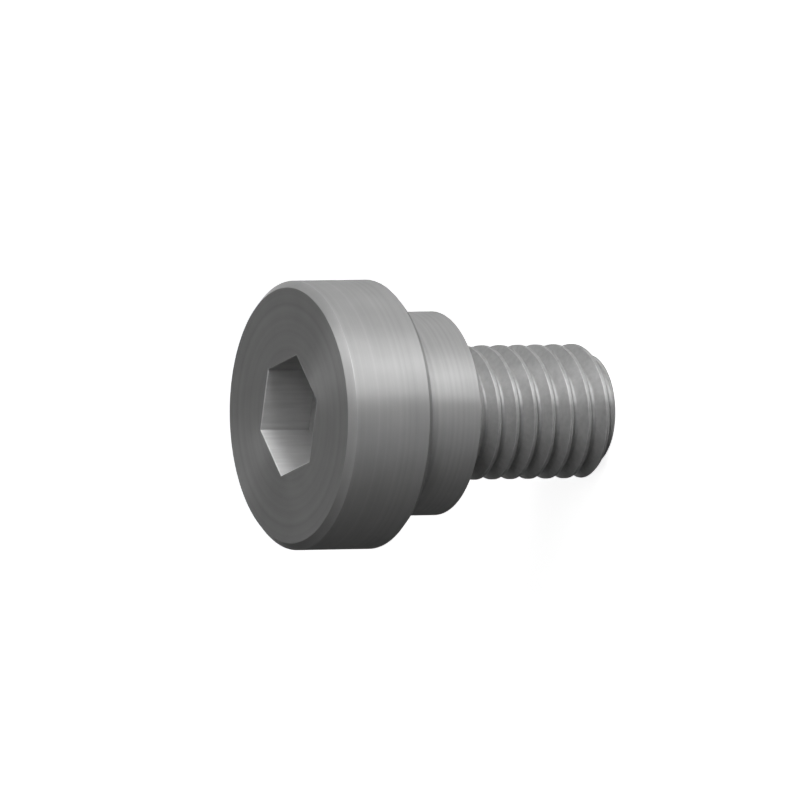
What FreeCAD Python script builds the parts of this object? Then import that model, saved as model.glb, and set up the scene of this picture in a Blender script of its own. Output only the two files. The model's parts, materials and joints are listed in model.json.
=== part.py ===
import FreeCAD, Part
import enum
import math
import os

import Sketcher
from FreeCAD import Placement, Rotation, Vector

# Socket head cap screw, turned from one bar: a low cylindrical head with a
# hexagon socket, a short wide shoulder under it and a thinner threaded shank.
# The axis is Z. The tip of the shank stands on Z = 0 and the head is on top.
# All lengths are in millimetres.

# Driving dimensions: name, value and what it is.
SIZES = [
    ("head_diameter", 19.8, "outside of the head"),
    ("head_height", 7.0, "from the bearing face to the top face"),
    ("top_chamfer", 0.5, "45 degree chamfer round the top face"),
    ("bearing_chamfer", 0.5, "45 degree chamfer round the bearing face"),
    ("socket_flats", 8.0, "across the flats of the hexagon socket"),
    ("socket_depth", 4.0, "from the top face to the flat socket floor"),
    ("shoulder_diameter", 15.0, "ground outside of the shoulder"),
    ("shoulder_length", 5.0, "from the seat face to the bearing face"),
    ("root_radius", 0.2, "fillet where the shank and the shoulder meet a face"),
    ("thread_diameter", 10.0, "nominal diameter of the metric thread"),
    ("thread_pitch", 1.5, "from one thread crest to the next"),
    ("shank_length", 13.0, "from the tip to the seat face"),
    ("tip_chamfer", 0.5, "45 degree chamfer round the tip"),
]

# The shank is plain and stands for its thread: its diameter is midway between
# the crests of a metric thread and the crests of the nut that it fits.
SHANK_DIAMETER = "(sizes.thread_diameter - 5 * sqrt(3) / 16 * sizes.thread_pitch)"

# The three turned steps from the tip up: name, diameter and length.
STEPS = [
    ("shank", SHANK_DIAMETER, "sizes.shank_length"),
    ("shoulder", "sizes.shoulder_diameter", "sizes.shoulder_length"),
    ("head", "sizes.head_diameter", "sizes.head_height"),
]

# Heights of the three faces above the tip.
SEAT_FACE = "sizes.shank_length"
BEARING_FACE = "(sizes.shank_length + sizes.shoulder_length)"
TOP_FACE = "(sizes.shank_length + sizes.shoulder_length + sizes.head_height)"

# Distance from the socket's axis to its corners.
SOCKET_CORNER = "(sizes.socket_flats / sqrt(3))"

# Width of the flat ring under the head. Its edges can't take more than it has.
BEARING_RING = "((sizes.head_diameter - sizes.shoulder_diameter) / 2)"
ROOT_RADIUS = f"min(sizes.root_radius, {BEARING_RING} / 4)"
BEARING_CHAMFER = f"min(sizes.bearing_chamfer, {BEARING_RING} / 2)"


class Point(enum.IntEnum):
    """How a sketch numbers its origin, and the points of a line or a circle."""

    ORIGIN = -1
    START = 1
    END = 2
    CENTRE = 3


def add_sizes(doc):
    """Puts the driving dimensions in a spreadsheet, one named cell each."""
    sheet = doc.addObject("Spreadsheet::Sheet", "sizes")
    for row, (name, value, meaning) in enumerate(SIZES, start=1):
        sheet.set(f"A{row}", name)
        sheet.set(f"B{row}", str(value))
        sheet.set(f"C{row}", meaning)
        sheet.setAlias(f"B{row}", name)
    doc.recompute()
    return sheet


def size_of(item, expression):
    """The present value of an expression of the driving dimensions."""
    return float(item.evalExpression(expression))


def add_sketch(body, name, role):
    """A sketch that lies flat on the body's own plane of that role, such as XY_Plane."""
    plane = next(f for f in body.Origin.OriginFeatures if f.Role == role)
    sketch = body.newObject("Sketcher::SketchObject", name)
    sketch.AttachmentSupport = (plane, "")
    sketch.MapMode = "FlatFace"
    return sketch


def draw_outline(sketch, corners):
    """Draws straight sides through the corners and joins them end to end."""
    for start, end in zip(corners, corners[1:] + corners[:1]):
        sketch.addGeometry(Part.LineSegment(Vector(*start, 0), Vector(*end, 0)), False)
    for side in range(len(corners)):
        following = (side + 1) % len(corners)
        joint = Sketcher.Constraint("Coincident", side, Point.END, following, Point.START)
        sketch.addConstraint(joint)


def add_dimension(sketch, kind, name, expression, *where):
    """Adds a named dimension to the sketch and binds it to the spreadsheet."""
    size = size_of(sketch, expression)
    index = sketch.addConstraint(Sketcher.Constraint(kind, *where, size))
    sketch.renameConstraint(index, name)
    sketch.setExpression(f"Constraints.{name}", expression)


def add_blank(body):
    """Turns the stepped blank: half its section, revolved about the axis."""
    sketch = add_sketch(body, "section", "XZ_Plane")
    corners = [(0, 0)]
    height = 0
    for _, diameter, length in STEPS:
        radius = size_of(sketch, diameter) / 2
        corners.append((radius, height))
        height += size_of(sketch, length)
        corners.append((radius, height))
    corners.append((0, height))
    draw_outline(sketch, corners)

    # From the axis outwards, level faces and upright sides take turns.
    for side in range(len(corners)):
        direction = "Horizontal" if side % 2 == 0 else "Vertical"
        sketch.addConstraint(Sketcher.Constraint(direction, side))
    tip_face = 0
    sketch.addConstraint(
        Sketcher.Constraint("Coincident", tip_face, Point.START, Point.ORIGIN, Point.START)
    )
    for step, (name, diameter, length) in enumerate(STEPS):
        side = 2 * step + 1
        to_side = (Point.ORIGIN, Point.START, side, Point.START)
        along_side = (side, Point.START, side, Point.END)
        add_dimension(sketch, "DistanceX", f"{name}_radius", f"{diameter} / 2", *to_side)
        add_dimension(sketch, "DistanceY", f"{name}_reach", length, *along_side)

    blank = body.newObject("PartDesign::Revolution", "blank")
    blank.Profile = sketch
    blank.ReferenceAxis = (sketch, ["V_Axis"])
    blank.Angle = 360
    sketch.Visibility = False
    body.Document.recompute()


def find_rim(feature, diameter, height):
    """The name of the circular edge of that diameter at that height."""
    for index, edge in enumerate(feature.Shape.Edges, start=1):
        circle = edge.Curve
        if not isinstance(circle, Part.Circle):
            continue
        if math.isclose(2 * circle.Radius, diameter, abs_tol=1e-6) and math.isclose(
            circle.Center.z, height, abs_tol=1e-6
        ):
            return f"Edge{index}"
    raise ValueError(f"{feature.Name} has no rim of {diameter} mm at {height} mm")


def dress_rims(body, kind, name, extent, size, rims):
    """Adds a Fillet or Chamfer of that size to the rims at (diameter, height)."""
    base = body.Tip
    edges = [find_rim(base, size_of(base, d), size_of(base, h)) for d, h in rims]
    feature = body.newObject(f"PartDesign::{kind}", name)
    feature.Base = (base, edges)
    feature.setExpression(extent, size)
    body.Document.recompute()


def add_edges(body):
    """Fillets the two inner corners and chamfers three of the outer rims."""
    corners = [(SHANK_DIAMETER, SEAT_FACE), ("sizes.shoulder_diameter", BEARING_FACE)]
    dress_rims(body, "Fillet", "root_fillets", "Radius", ROOT_RADIUS, corners)
    for name, size, diameter, height in (
        ("tip_edge", "sizes.tip_chamfer", SHANK_DIAMETER, "0"),
        ("bearing_edge", BEARING_CHAMFER, "sizes.head_diameter", BEARING_FACE),
        ("top_edge", "sizes.top_chamfer", "sizes.head_diameter", TOP_FACE),
    ):
        dress_rims(body, "Chamfer", name, "Size", size, [(diameter, height)])


def draw_hexagon(sketch):
    """Draws the socket's hexagon about the axis, with two flats facing X."""
    radius = size_of(sketch, SOCKET_CORNER)
    angles = [math.radians(60 * corner - 30) for corner in range(6)]
    draw_outline(sketch, [(radius * math.cos(a), radius * math.sin(a)) for a in angles])
    through_corners = sketch.addGeometry(
        Part.Circle(Vector(0, 0, 0), Vector(0, 0, 1), radius), True
    )
    sketch.addConstraint(
        Sketcher.Constraint("Coincident", through_corners, Point.CENTRE, Point.ORIGIN, Point.START)
    )
    for side in range(6):
        sketch.addConstraint(
            Sketcher.Constraint("PointOnObject", side, Point.START, through_corners)
        )
    for side in range(1, 6):
        sketch.addConstraint(Sketcher.Constraint("Equal", 0, side))
    sketch.addConstraint(Sketcher.Constraint("Vertical", 0))
    add_dimension(sketch, "Radius", "corner_radius", SOCKET_CORNER, through_corners)


def add_socket(body):
    """Broaches the hexagon socket down from the top face to a flat floor."""
    uncut = body.Shape.Volume
    sketch = add_sketch(body, "hexagon", "XY_Plane")
    sketch.setExpression("AttachmentOffset.Base.z", TOP_FACE)
    draw_hexagon(sketch)
    socket = body.newObject("PartDesign::Pocket", "socket")
    socket.Profile = sketch
    socket.Type = "Length"
    socket.setExpression("Length", "sizes.socket_depth")
    sketch.Visibility = False
    body.Document.recompute()
    if body.Shape.Volume >= uncut:
        raise ValueError("the socket points away from the head")


def add_screw(doc):
    """Builds the whole screw, which is one solid."""
    body = doc.addObject("PartDesign::Body", "cap_screw")
    body.Label = "cap_screw"
    body.Placement = Placement(Vector(0, 0, 0), Rotation())
    add_blank(body)
    add_edges(body)
    add_socket(body)
    return body


def check(doc, sub_parts):
    """Stops if an object failed to recompute or a sub-part isn't one valid solid."""
    for item in doc.Objects:
        if "Invalid" in item.State or "Error" in item.State:
            raise ValueError(f"{item.Label} failed: {item.State}")
    for item in sub_parts:
        shape = item.Shape
        if shape.isNull() or not shape.isValid() or len(shape.Solids) != 1:
            raise ValueError(f"{item.Label} isn't one valid solid")


def write(sub_parts):
    """Writes each sub-part to the STEP file that its label names."""
    os.makedirs("parts", exist_ok=True)
    for item in sub_parts:
        item.Shape.exportStep(f"parts/{item.Label}.step")
        box = item.Shape.BoundBox
        extent = f"{box.XLength:.2f} x {box.YLength:.2f} x {box.ZLength:.2f} mm"
        print(f"{item.Label}: {extent}, {item.Shape.Volume:.1f} cubic mm")


def main():
    doc = FreeCAD.newDocument("cap_screw_model")
    add_sizes(doc)
    sub_parts = [add_screw(doc)]
    doc.recompute()
    check(doc, sub_parts)
    write(sub_parts)


main()
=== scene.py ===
"""Looks of a socket head cap screw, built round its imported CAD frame.

The screw is one closed mesh: a lathe profile with broken edges, a broached hexagon
socket and a rolled metric thread that fades out below the shoulder. It stands on its
tip on a plain white floor, and the camera is rolled so that its axis lies level.
"""

import itertools
import json
import math
from collections.abc import Callable
from typing import NamedTuple

import bmesh
import bpy
import numpy as np
from mathutils import Matrix, Vector


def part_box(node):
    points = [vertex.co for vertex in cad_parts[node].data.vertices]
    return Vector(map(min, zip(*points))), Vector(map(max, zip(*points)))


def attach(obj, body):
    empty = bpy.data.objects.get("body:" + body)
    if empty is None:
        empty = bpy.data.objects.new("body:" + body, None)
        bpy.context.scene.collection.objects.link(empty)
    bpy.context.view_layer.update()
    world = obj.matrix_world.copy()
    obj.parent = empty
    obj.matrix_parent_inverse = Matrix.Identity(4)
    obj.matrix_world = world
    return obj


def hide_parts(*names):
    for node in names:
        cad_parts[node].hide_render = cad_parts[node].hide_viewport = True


MM = 0.001
MICRON = 0.001 * MM

# The screw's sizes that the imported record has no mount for, in metres.
SOCKET_FLATS = 8.0 * MM
SOCKET_DEPTH = 4.0 * MM
EDGE_CHAMFER = 0.5 * MM
ROOT_FILLET = 0.2 * MM
EDGE_BREAK = 0.05 * MM

# The rings that break the edge round the tip's flat end: how far each lies in from the
# rim and up from that end, as shares of the break.
TIP_BREAK_RINGS = [(0.0, 1.0), (0.45, 0.35), (1.1, 0.0)]

# The thread: M10 x 1.5, right-handed, with its crests a little under nominal. It fades
# out between two distances below the shoulder.
THREAD_DIAMETER = 10.0 * MM
THREAD_PITCH = 1.5 * MM
CREST_ALLOWANCE = 0.05 * MM
CREST_ROUNDING = 0.04 * MM
RUNOUT_START = 2.4 * MM
RUNOUT_END = 1.1 * MM

# The circle where the rings of the top face give way to the hexagon, and the rings of
# the socket's floor, as shares of the distance to its flats.
FACE_CIRCLE_RADIUS = 0.72 * SOCKET_FLATS
SOCKET_FLOOR_RINGS = (0.99, 0.66, 0.33)

# How finely round surfaces and the arcs of a path are divided, and how far outside an
# arc its support points lie.
COLUMNS = 192
DEGREES_PER_STEP = 20.0
FEWEST_STEPS = 2
SUPPORT = 0.02 * MM

# Vertices closer than this are merged, and edges that bend by more than this are sharp.
MERGE_DISTANCE = 0.001 * MM
SHARP_ANGLE = math.radians(35)

# The finishes that the tools leave, in the order of the mesh's material slots. What the
# lathe cuts is faced where it rises by less than this share of its width.
TURNED, FACED, GROUND, BROACHED, ROLLED = range(5)
FACED_SLOPE = 0.1

# How far a vertex's edges bend before it counts as a proud edge, lightened as wear and
# painted highlight, or as a crease, darkened as painted shade.
BEND_NOTICED = math.radians(6)
BEND_FULL = math.radians(16)

# The steel's grey; a darker copy of it where it is faced, painted shade for the top face;
# a lighter copy where it is broached, painted light against the socket's shade; how much
# of its light it reflects as a metal does, and the grey of what it reflects at a grazing angle.
STEEL_GREY = 0.4
SHADED_FACE_GREY = 0.86 * STEEL_GREY
LIT_SOCKET_GREY = 1.35 * STEEL_GREY
METAL_SHARE = 0.07
GRAZING_GREY = 0.5

# How much marks round the axis stretch a highlight, and by what share of a turn the
# stretch is turned from the marks.
HIGHLIGHT_STRETCH = 0.9
STRETCH_TURN = 0.25

# What mottle, marks, edge wear with its painted highlight, and painted shade in creases do
# where there is least and most of them: what they multiply the tone by, and what they add
# to the roughness.
TONE_CHANGES = {
    "mottle": (0.96, 1.04),
    "mark": (0.92, 1.08),
    "worn": (1.0, 1.2),
    "sheltered": (1.0, 0.85),
}
ROUGHNESS_CHANGES = {"mottle": (-0.04, 0.04), "mark": (-0.05, 0.05), "worn": (0.0, -0.06)}

# The size of the mottle, and the scale along the axis that draws a broach's marks out.
MOTTLE_SIZE = 2.6 * MM
BROACH_SCALE = 0.06

# Most of a noise texture lies between these values.
NOISE_LOW = 0.3
NOISE_HIGH = 0.7

# The floor: half its width and the two distances between which its glow rises to white,
# in metres, its lowest glow, and its grey as it is seen and as it lights the screw.
FLOOR_HALF_WIDTH = 3.0
GLOW_RISES_AT = 0.05
GLOW_FULL_AT = 0.3
LOWEST_GLOW = 0.86
FLOOR_GREY_SEEN = 0.85
FLOOR_GREY_LIGHTING = 0.2

# How far off the lamps stand, in metres, and how strong the light from all round is.
LAMP_DISTANCE = 1.0
AMBIENT_STRENGTH = 0.01

# Each lamp's name, degrees round the axis from the camera, degrees above level, half its
# width and half its height in degrees, and strength.
LAMPS = [
    ("key_lamp", 63.0, 7.0, 16.0, 5.5, 0.5),
    ("upper_lamp", 54.0, 20.0, 14.0, 8.0, 0.25),
    ("fill_lamp", 22.0, 32.0, 14.0, 9.0, 0.18),
    ("rear_lamp", 176.0, 3.0, 12.0, 3.0, 0.85),
]

# Strips of light, in the same terms, that show only as highlights on the steel.
STRIPS = [
    ("bright_strip", 30.0, 7.0, 15.0, 6.0, 3.5),
    ("soft_strip", 50.0, 7.0, 13.0, 6.0, 1.6),
    ("high_strip", 80.0, 50.0, 14.0, 8.0, 0.75),
]

# The photograph's view, in degrees, through a long lens: the head is towards the camera
# and the axis lies level.
VIEW_AZIMUTH = -12.71
VIEW_ELEVATION = 27.75
VIEW_ROLL = 90.9
PICTURE_WIDTH_PIXELS = 800
PIXELS_PER_METRE = 13.595 / MM
HEAD_CENTRE_PIXEL = (288.94, 415.46)
LENS_MM = 1600.0
SENSOR_MM = 36.0

# The camera sees what lies between these shares of its distance.
NEAREST_SEEN = 0.5
FARTHEST_SEEN = 4


def rounded_path(corners):
    """Points along a path whose corners (across, along, radius) are rounded.

    A corner with a radius becomes an arc with a support point just outside each end,
    so that smooth shading stays on the arc. A corner without one stays as it is.
    """
    path = []
    for index, (across, along, radius) in enumerate(corners):
        corner = Vector((across, along))
        if radius == 0:
            path.append(corner)
            continue
        before = (Vector(corners[index - 1][:2]) - corner).normalized()
        after = (Vector(corners[index + 1][:2]) - corner).normalized()
        turn = math.pi - before.angle(after)
        reach = radius * math.tan(turn / 2)
        centre = corner + (before + after).normalized() * (radius / math.cos(turn / 2))
        steps = max(FEWEST_STEPS, math.ceil(math.degrees(turn) / DEGREES_PER_STEP))
        start = corner + before * reach
        end = corner + after * reach
        path.append(start + before * SUPPORT)
        spoke = start - centre
        side = math.copysign(1, spoke.x * (end - centre).y - spoke.y * (end - centre).x)
        for step in range(steps + 1):
            angle = side * turn * step / steps
            path.append(centre + Matrix.Rotation(angle, 2) @ spoke)
        path.append(end + after * SUPPORT)
    return np.array([tuple(point) for point in path])


def column_angles():
    """The angle of each column of vertices round the axis, from 0, in radians."""
    return np.arange(COLUMNS) * (2 * math.pi / COLUMNS)


def ring(radii, height):
    """One closed ring of vertices. radii is one number, or one for each column."""
    angles = column_angles()
    radii = np.broadcast_to(radii, angles.shape)
    heights = np.full(COLUMNS, height)
    return np.stack([radii * np.cos(angles), radii * np.sin(angles), heights], axis=1)


def hexagon_ring(flat_distance, height):
    """A ring on a hexagon whose flats face X, at that distance from the axis."""
    sixth = math.pi / 3
    from_flat = (column_angles() + sixth / 2) % sixth - sixth / 2
    return ring(flat_distance / np.cos(from_flat), height)


def thread_profile():
    """One pitch of the thread's section: distance along the axis and radius.

    The flanks stand 60 degrees apart. The crest is an eighth of the pitch wide at the
    nominal diameter, and the root's radius is a sixth of the height of sharp flanks.
    """
    flank_slope = math.sqrt(3)
    crest = THREAD_DIAMETER / 2 - CREST_ALLOWANCE
    half_crest = THREAD_PITCH / 16 + CREST_ALLOWANCE / flank_slope
    sharp_root = crest - (THREAD_PITCH / 2 - half_crest) * flank_slope
    root_rounding = THREAD_PITCH * flank_slope / 12
    path = rounded_path(
        [
            (0.0, crest, 0),
            (half_crest, crest, CREST_ROUNDING),
            (THREAD_PITCH / 2, sharp_root, root_rounding),
            (THREAD_PITCH - half_crest, crest, CREST_ROUNDING),
            (THREAD_PITCH, crest, 0),
        ]
    )
    return path[:, 0], path[:, 1]


def smooth_step(values):
    """Rises smoothly from 0 to 1 as the values do."""
    values = np.clip(values, 0, 1)
    return values * values * (3 - 2 * values)


def thread_radius(turns, heights, sizes):
    """The shank's radius at a share of a turn and a height, tip and run-out included."""
    along, radius = thread_profile()
    phase = np.mod(heights - turns * THREAD_PITCH, THREAD_PITCH)
    threaded = np.interp(phase, along, radius)
    blank = sizes["shank_radius"]
    fade = (sizes["seat"] - RUNOUT_END - heights) / (RUNOUT_START - RUNOUT_END)
    radii = blank + (threaded - blank) * smooth_step(fade)
    tip_cone = blank - EDGE_CHAMFER + heights
    return np.minimum(radii, tip_cone)


def add_grid(mesh, grid, finishes, closed=True):
    """Adds rows of vertices to the bmesh, with faces between them and their columns.

    The faces between two rows get the next finish of the list.
    """
    columns = grid.shape[1]
    vertices = [[mesh.verts.new(point) for point in row] for row in grid]
    for row, finish in zip(range(len(grid) - 1), finishes):
        for column in range(columns if closed else columns - 1):
            beside = (column + 1) % columns
            here = (vertices[row][column], vertices[row][beside])
            above = (vertices[row + 1][beside], vertices[row + 1][column])
            mesh.faces.new(here + above).material_index = finish


def add_cap(mesh, rim, finish):
    """Closes a ring with a fan of triangles round its centre."""
    vertices = [mesh.verts.new(point) for point in rim]
    centre = mesh.verts.new(rim.mean(axis=0))
    for column, vertex in enumerate(vertices):
        beside = vertices[(column + 1) % len(vertices)]
        mesh.faces.new((vertex, beside, centre)).material_index = finish


def add_tip(mesh, sizes, low):
    """Adds the flat end of the tip and its broken edge, up to the thread."""
    turns = np.arange(COLUMNS) / COLUMNS
    rim = thread_radius(turns, np.full(COLUMNS, low), sizes)
    rings = [ring(rim - inward * low, upward * low) for inward, upward in TIP_BREAK_RINGS]
    last_inward, _ = TIP_BREAK_RINGS[-1]
    rings.append(ring(rim - last_inward * low - SUPPORT, 0.0))
    rings.append(ring(rim / 2, 0.0))
    add_grid(mesh, np.array(rings), [ROLLED, ROLLED, FACED, FACED])
    add_cap(mesh, rings[-1], FACED)


def add_thread(mesh, sizes, low, high):
    """Adds the threaded stretch, whose rows climb one pitch in each turn."""
    along, _ = thread_profile()
    # A row that starts one pitch below the stretch still climbs into it.
    first = math.floor(low / THREAD_PITCH) - 1
    last = math.ceil(high / THREAD_PITCH)
    starts = [pitch * THREAD_PITCH + along[:-1] for pitch in range(first, last + 1)]
    starts = np.concatenate(starts)
    turns = np.arange(COLUMNS + 1) / COLUMNS
    heights = np.clip(starts[:, None] + turns[None, :] * THREAD_PITCH, low, high)
    angles = np.append(column_angles(), 0.0)
    radii = thread_radius(np.broadcast_to(turns, heights.shape), heights, sizes)
    grid = np.stack([radii * np.cos(angles), radii * np.sin(angles), heights], axis=2)
    add_grid(mesh, grid, itertools.repeat(ROLLED), closed=False)


def add_body(mesh, sizes, low):
    """Adds what the lathe cuts above the thread, to a circle round the socket."""
    shank = sizes["shank_radius"]
    shoulder = sizes["shoulder_radius"]
    head = sizes["head_radius"]
    seat = sizes["seat"]
    bearing = sizes["bearing"]
    top = sizes["top"]
    path = rounded_path(
        [
            (shank, low, 0),
            (shank, seat, ROOT_FILLET),
            (shoulder, seat, EDGE_BREAK),
            (shoulder, bearing, ROOT_FILLET),
            (head - EDGE_CHAMFER, bearing, EDGE_BREAK),
            (head, bearing + EDGE_CHAMFER, EDGE_BREAK),
            (head, top - EDGE_CHAMFER, EDGE_BREAK),
            (head - EDGE_CHAMFER, top, EDGE_BREAK),
            (FACE_CIRCLE_RADIUS, top, 0),
        ]
    )
    finishes = []
    for (radius, height), (next_radius, next_height) in zip(path, path[1:]):
        if abs(next_height - height) < FACED_SLOPE * abs(next_radius - radius):
            finishes.append(FACED)
        elif seat < height < bearing:
            finishes.append(GROUND)
        else:
            finishes.append(TURNED)
    add_grid(mesh, np.array([ring(radius, height) for radius, height in path]), finishes)


def add_socket(mesh, sizes):
    """Adds the top face inside the circle, the socket's walls and its flat floor."""
    half = SOCKET_FLATS / 2
    top = sizes["top"]
    floor = top - SOCKET_DEPTH
    path = rounded_path(
        [
            (FACE_CIRCLE_RADIUS * math.cos(math.pi / 6), top, 0),
            (half, top, EDGE_BREAK),
            (half, floor, 0),
            (0.0, floor, 0),
        ]
    )
    mouth = hexagon_ring(*path[1])
    add_grid(mesh, np.array([ring(FACE_CIRCLE_RADIUS, top), mouth]), [FACED])
    rings = [hexagon_ring(distance, height) for distance, height in path[1:-1]]
    rings.insert(-1, hexagon_ring(half, floor + SUPPORT))
    rings += [hexagon_ring(half * share, floor) for share in SOCKET_FLOOR_RINGS]
    add_grid(mesh, np.array(rings), itertools.repeat(BROACHED))
    add_cap(mesh, rings[-1], BROACHED)


def mark_wear_and_shade(mesh):
    """Stores which vertices stand proud, to be lightened as wear and painted highlight, and
    which lie in creases, to be darkened as painted shade.
    """
    worn = mesh.verts.layers.float.new("worn")
    sheltered = mesh.verts.layers.float.new("sheltered")
    reach = BEND_FULL - BEND_NOTICED
    for vertex in mesh.verts:
        bends = [edge.calc_face_angle_signed(0.0) for edge in vertex.link_edges]
        vertex[worn] = min(max((max(bends) - BEND_NOTICED) / reach, 0), 1)
        vertex[sheltered] = min(max((-min(bends) - BEND_NOTICED) / reach, 0), 1)


def read_sizes(frame):
    """The screw's radii and heights in metres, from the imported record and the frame."""
    mounts = {mount["name"]: mount for mount in frame["record"]["mounts"]}
    # Facets cut a little off the frame's head, so its radius is rounded to 0.1 mm.
    lowest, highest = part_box("cap_screw")
    head_radius = round((highest.x - lowest.x) / 2 / MM, 1) * MM
    return {
        "shank_radius": mounts["thread"]["dims"]["r_mm"] * MM,
        "shoulder_radius": mounts["shoulder"]["dims"]["r_mm"] * MM,
        "head_radius": head_radius,
        "seat": mounts["seat_face"]["pos_m"][2],
        "bearing": mounts["bearing_face"]["pos_m"][2],
        "top": mounts["drive_socket"]["pos_m"][2],
    }


def add_object(name, data):
    """Adds an object with that data to the scene."""
    item = bpy.data.objects.new(name, data)
    bpy.context.scene.collection.objects.link(item)
    return item


def make_screw(sizes):
    """Builds the screw as one closed mesh and returns its object."""
    low = EDGE_BREAK
    high = sizes["seat"] - RUNOUT_END
    mesh = bmesh.new()
    add_tip(mesh, sizes, low)
    add_thread(mesh, sizes, low, high)
    add_body(mesh, sizes, high)
    add_socket(mesh, sizes)
    bmesh.ops.remove_doubles(mesh, verts=mesh.verts, dist=MERGE_DISTANCE)
    bmesh.ops.recalc_face_normals(mesh, faces=mesh.faces)
    mark_wear_and_shade(mesh)
    for face in mesh.faces:
        face.smooth = True
    data = bpy.data.meshes.new("turned_cap_screw")
    mesh.to_mesh(data)
    mesh.free()
    data.set_sharp_from_angle(angle=SHARP_ANGLE)
    return add_object("turned_cap_screw", data)


class Nodes:
    """The nodes of a new material or world, with short calls that add to them."""

    def __init__(self, owner):
        owner.use_nodes = True
        self.tree = owner.node_tree

    def add(self, kind, inputs=None, output=0, **settings):
        """Adds a node, links or sets its inputs and returns the output asked for."""
        node = self.tree.nodes.new(kind)
        for name, value in settings.items():
            setattr(node, name, value)
        self.feed(node, inputs or {})
        return node.outputs[output]

    def feed(self, node, inputs):
        """Links each named input to a socket, or sets it to a value."""
        for name, value in inputs.items():
            if isinstance(value, bpy.types.NodeSocket):
                self.tree.links.new(value, node.inputs[name])
            else:
                node.inputs[name].default_value = value

    def math(self, operation, *values):
        """The result of a Math node."""
        return self.add("ShaderNodeMath", dict(enumerate(values)), operation=operation)

    def blend(self, share, low, high, start=0.0, end=1.0, **settings):
        """A number that goes from low to high as the share goes from start to end."""
        inputs = {"Value": share, "From Min": start, "From Max": end}
        inputs.update({"To Min": low, "To Max": high})
        return self.add("ShaderNodeMapRange", inputs, **settings)

    def noise(self, vector, feature_size, detail):
        """Noise that mostly fills 0 to 1, whose largest features are about that size."""
        inputs = {"Vector": vector, "Scale": 1 / feature_size, "Detail": detail}
        rough = self.add("ShaderNodeTexNoise", inputs)
        return self.blend(rough, 0.0, 1.0, start=NOISE_LOW, end=NOISE_HIGH)

    def attribute(self, name):
        """A number that the mesh stores on each vertex."""
        return self.add("ShaderNodeAttribute", output="Fac", attribute_name=name)

    def seen_directly(self):
        """1 for rays from the camera, a reflection or glass, and 0 for all other light."""
        path = self.add("ShaderNodeLightPath").node.outputs
        share = self.math("MAXIMUM", path["Is Camera Ray"], path["Is Glossy Ray"])
        return self.math("MAXIMUM", share, path["Is Transmission Ray"])


def grey(value):
    """A plain grey as a colour."""
    return (value, value, value, 1.0)


def lathe_marks(nodes, coordinates, feature_size):
    """Marks that run round the axis, as a lathe's tool or a grinding wheel leaves them."""
    across, beside, height = nodes.add("ShaderNodeSeparateXYZ", {0: coordinates}).node.outputs
    squares = [nodes.math("MULTIPLY", axis, axis) for axis in (across, beside)]
    radius = nodes.math("SQRT", nodes.math("ADD", *squares))
    place = nodes.add("ShaderNodeCombineXYZ", {"X": radius, "Y": height})
    return nodes.noise(place, feature_size, detail=4.0)


def broach_marks(nodes, coordinates, feature_size):
    """Marks that run down the socket's walls, as a broach leaves them."""
    inputs = {"Vector": coordinates, "Scale": (1.0, 1.0, BROACH_SCALE)}
    stretched = nodes.add("ShaderNodeMapping", inputs)
    return nodes.noise(stretched, feature_size, detail=3.0)


def even_grain(nodes, coordinates, feature_size):
    """The even grain that rolling leaves on a thread."""
    return nodes.noise(coordinates, feature_size, detail=3.0)


class Finish(NamedTuple):
    """What one tool leaves on the steel: its marks, its grey, and how they take the light. The
    faced grey is painted shade and the broached grey is painted light.
    """

    name: str
    marks: Callable
    mark_size: float
    mark_depth: float
    roughness: float
    tone: float = STEEL_GREY
    stretch: float = HIGHLIGHT_STRETCH


def steel_material(finish):
    """Satin grey steel with the marks of one tool, lightened on proud edges as wear and painted
    highlight, and darkened in creases as painted shade.
    """
    material = bpy.data.materials.new(finish.name)
    nodes = Nodes(material)
    coordinates = nodes.add("ShaderNodeTexCoord", output="Object")
    shares = {
        "mark": finish.marks(nodes, coordinates, finish.mark_size),
        "mottle": nodes.noise(coordinates, MOTTLE_SIZE, detail=3.0),
        # The proud-edge share lightens the steel, partly as wear and partly as painted highlight.
        "worn": nodes.attribute("worn"),
        # The crease share darkens the steel in creases: painted shade.
        "sheltered": nodes.attribute("sheltered"),
    }
    tone = finish.tone
    for cause, change in TONE_CHANGES.items():
        tone = nodes.math("MULTIPLY", tone, nodes.blend(shares[cause], *change))
    roughness = finish.roughness
    for cause, change in ROUGHNESS_CHANGES.items():
        roughness = nodes.math("ADD", roughness, nodes.blend(shares[cause], *change))

    colour = {"Red": tone, "Green": tone, "Blue": tone}
    bump = {"Height": shares["mark"], "Distance": finish.mark_depth}
    looks = {
        "Base Color": nodes.add("ShaderNodeCombineColor", colour),
        "Roughness": roughness,
        "Normal": nodes.add("ShaderNodeBump", bump),
        "Metallic": METAL_SHARE,
        "Specular IOR Level": 0.0,
        "Specular Tint": grey(GRAZING_GREY),
    }
    if finish.stretch:
        looks["Tangent"] = nodes.add("ShaderNodeTangent", direction_type="RADIAL", axis="Z")
        looks["Anisotropic"] = finish.stretch
        looks["Anisotropic Rotation"] = STRETCH_TURN
    nodes.feed(nodes.tree.nodes["Principled BSDF"], looks)
    return material


def add_finishes(screw):
    """Gives the screw the finish of each tool, in the order of the mesh's slots."""
    for finish in (
        Finish("turned_steel", lathe_marks, 0.45 * MM, 4 * MICRON, 0.45),
        # The faced finish's darker grey is painted shade for the top face.
        Finish("faced_steel", lathe_marks, 0.5 * MM, 5 * MICRON, 0.47, SHADED_FACE_GREY),
        Finish("ground_steel", lathe_marks, 0.22 * MM, 1.5 * MICRON, 0.43),
        # The broached finish's lighter grey is painted light against the socket's shade.
        Finish(
            "broached_steel", broach_marks, 0.3 * MM, 3 * MICRON, 0.46, LIT_SOCKET_GREY, stretch=0.0
        ),
        Finish("rolled_steel", even_grain, 0.4 * MM, 2 * MICRON, 0.43),
    ):
        screw.data.materials.append(steel_material(finish))


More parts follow.
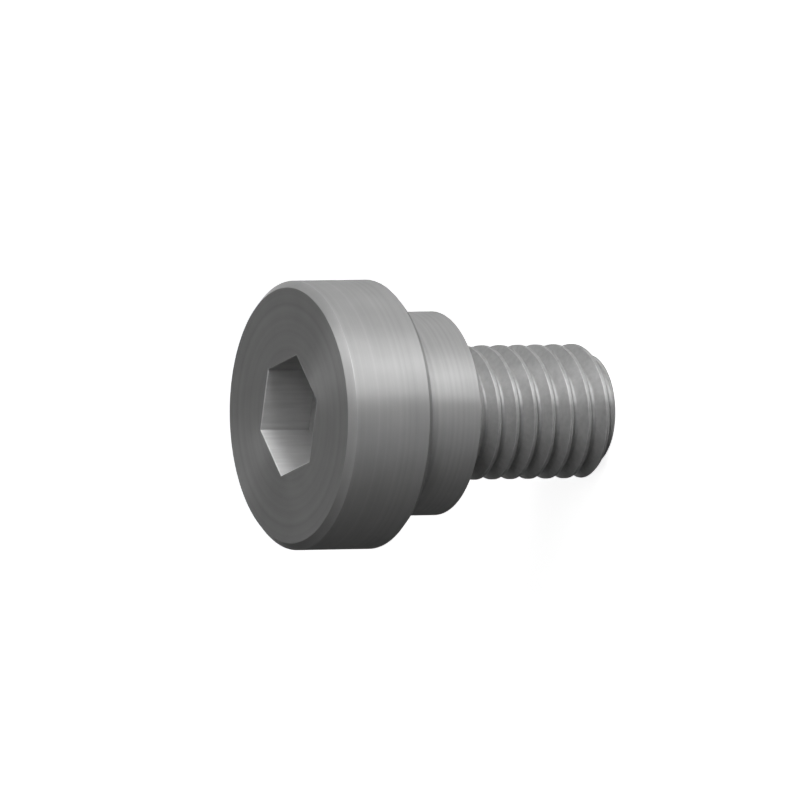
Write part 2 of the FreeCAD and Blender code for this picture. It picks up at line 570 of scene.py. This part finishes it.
def floor_material():
    """Looks white and keeps the screw's shadow, but throws little light back at it."""
    material = bpy.data.materials.new("white_floor")
    nodes = Nodes(material)
    place = nodes.add("ShaderNodeTexCoord", output="Object")
    distance = nodes.add("ShaderNodeVectorMath", {0: place}, output="Value", operation="LENGTH")
    strength = nodes.blend(
        distance, LOWEST_GLOW, 1.0, GLOW_RISES_AT, GLOW_FULL_AT, interpolation_type="SMOOTHSTEP"
    )
    glow = nodes.add("ShaderNodeEmission", {"Color": grey(1.0), "Strength": strength})
    paper = nodes.add("ShaderNodeBsdfDiffuse", {"Color": grey(FLOOR_GREY_SEEN)})
    bright = nodes.add("ShaderNodeAddShader", {0: glow, 1: paper})
    dim = nodes.add("ShaderNodeBsdfDiffuse", {"Color": grey(FLOOR_GREY_LIGHTING)})
    surface = nodes.add("ShaderNodeMixShader", {0: nodes.seen_directly(), 1: dim, 2: bright})
    nodes.feed(nodes.tree.nodes["Material Output"], {"Surface": surface})
    nodes.tree.nodes.remove(nodes.tree.nodes["Principled BSDF"])
    return material


def add_floor():
    """A plain white floor that keeps the screw's shadow."""
    data = bpy.data.meshes.new("floor")
    half = FLOOR_HALF_WIDTH
    corners = [(-half, -half, 0), (half, -half, 0), (half, half, 0), (-half, half, 0)]
    data.from_pydata(corners, [], [(0, 1, 2, 3)])
    data.materials.append(floor_material())
    floor = add_object("floor", data)


def screw_direction(round_axis, above):
    """A direction from the screw, by degrees round it from the camera and above level."""
    azimuth = math.radians(VIEW_AZIMUTH + round_axis)
    above = math.radians(above)
    level = Vector((math.sin(azimuth), -math.cos(azimuth), 0))
    return level * math.cos(above) + Vector((0, 0, math.sin(above)))


def add_lamp(name, target, round_axis, above, half_width, half_height, strength):
    """Adds a soft lamp in that direction, which shows that many degrees each way.

    A strength of 1 lights a surface that faces it so that its colour renders as written.
    """
    direction = screw_direction(round_axis, above)
    data = bpy.data.lights.new(name, "AREA")
    data.shape = "RECTANGLE"
    data.size = 2 * LAMP_DISTANCE * math.tan(math.radians(half_width))
    data.size_y = 2 * LAMP_DISTANCE * math.tan(math.radians(half_height))
    data.energy = strength * math.pi**2 * LAMP_DISTANCE**2
    lamp = add_object(name, data)
    lamp.location = target + direction * LAMP_DISTANCE
    lamp.rotation_mode = "QUATERNION"
    lamp.rotation_quaternion = direction.to_track_quat("Z", "Y")
    return lamp


def add_lamps(sizes):
    """Adds the studio's lamps round the middle of the screw."""
    middle = Vector((0, 0, sizes["top"] / 2))
    for name, *place_and_strength in LAMPS:
        add_lamp(name, middle, *place_and_strength)
    for name, *place_and_strength in STRIPS:
        strip = add_lamp(name, middle, *place_and_strength)
        strip.visible_diffuse = False


def add_world():
    """A world that looks white and gives the screw only a little light from all round."""
    world = bpy.data.worlds.new("studio")
    bpy.context.scene.world = world
    nodes = Nodes(world)
    strength = nodes.blend(nodes.seen_directly(), AMBIENT_STRENGTH, 1.0)
    nodes.feed(nodes.tree.nodes["Background"], {"Color": grey(1.0), "Strength": strength})


def add_camera(sizes):
    """Places the camera so that the picture matches the photograph's frame."""
    back = screw_direction(0.0, VIEW_ELEVATION)
    level = screw_direction(90.0, 0.0)
    upright = back.cross(level)
    roll = math.radians(VIEW_ROLL)
    right = level * math.cos(roll) - upright * math.sin(roll)
    up = level * math.sin(roll) + upright * math.cos(roll)

    middle = PICTURE_WIDTH_PIXELS / 2
    head_x, head_y = HEAD_CENTRE_PIXEL
    target = Vector((0, 0, sizes["top"]))
    target += right * ((middle - head_x) / PIXELS_PER_METRE)
    target += up * ((head_y - middle) / PIXELS_PER_METRE)
    distance = PICTURE_WIDTH_PIXELS / PIXELS_PER_METRE * LENS_MM / SENSOR_MM
    # The picture's scale holds at the screw's middle, which lies behind its head.
    behind = sizes["top"] / 2 * back.z

    data = bpy.data.cameras.new("camera")
    data.lens = LENS_MM
    data.sensor_width = SENSOR_MM
    data.clip_start = distance * NEAREST_SEEN
    data.clip_end = distance * FARTHEST_SEEN
    camera = add_object("camera", data)
    turn = Matrix((right, up, back)).transposed()
    place = target + back * (distance - behind)
    camera.matrix_world = Matrix.Translation(place) @ turn.to_4x4()
    bpy.context.scene.camera = camera


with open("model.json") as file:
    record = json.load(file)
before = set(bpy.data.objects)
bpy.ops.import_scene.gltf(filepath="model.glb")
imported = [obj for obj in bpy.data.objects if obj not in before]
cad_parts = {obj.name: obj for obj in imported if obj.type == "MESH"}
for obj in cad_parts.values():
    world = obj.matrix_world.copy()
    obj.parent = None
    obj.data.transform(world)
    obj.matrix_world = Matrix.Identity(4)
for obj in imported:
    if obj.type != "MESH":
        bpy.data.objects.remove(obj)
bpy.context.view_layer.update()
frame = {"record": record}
sizes = read_sizes(frame)

screw = make_screw(sizes)
add_finishes(screw)
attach(screw, "root")
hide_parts("cap_screw")

add_floor()
add_lamps(sizes)
add_world()
add_camera(sizes)

bpy.context.scene.view_settings.view_transform = "Standard"
